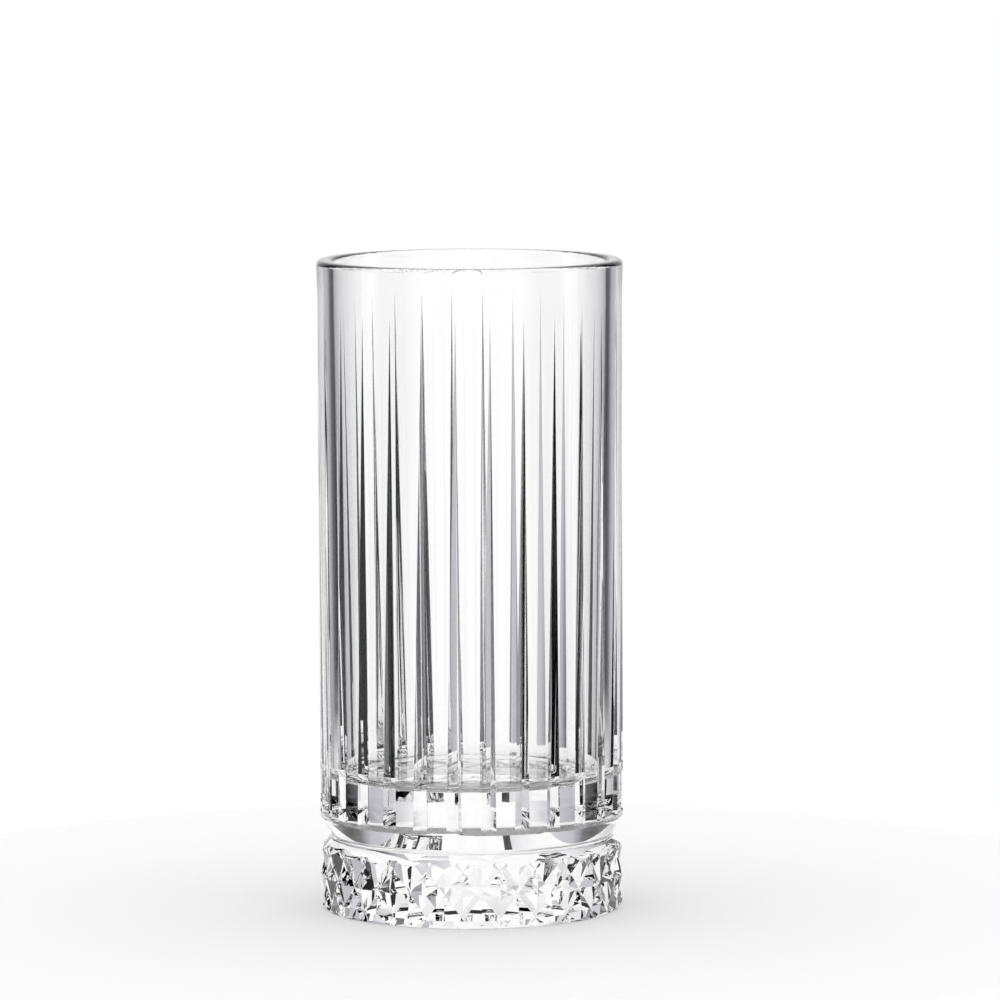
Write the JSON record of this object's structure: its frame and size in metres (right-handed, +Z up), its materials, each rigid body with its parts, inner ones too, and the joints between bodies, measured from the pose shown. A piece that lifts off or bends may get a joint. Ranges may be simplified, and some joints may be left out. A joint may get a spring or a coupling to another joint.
{
  "type": "highball glass",
  "caption": "Tall straight highball glass in clear pressed glass, with tapered vertical wall cuts, a narrow waist and a heavy base ring of cut diamonds.",
  "frame": {"origin": "centre of the circle that the glass stands on, on the table", "axes": "+Z up along the axis of the glass"},
  "size_m": [0.0705, 0.0706, 0.15],
  "materials": {
    "glass": "polished"
  },
  "bodies": {
    "root": {"tumbler": "glass"}
  },
  "joints": []
}
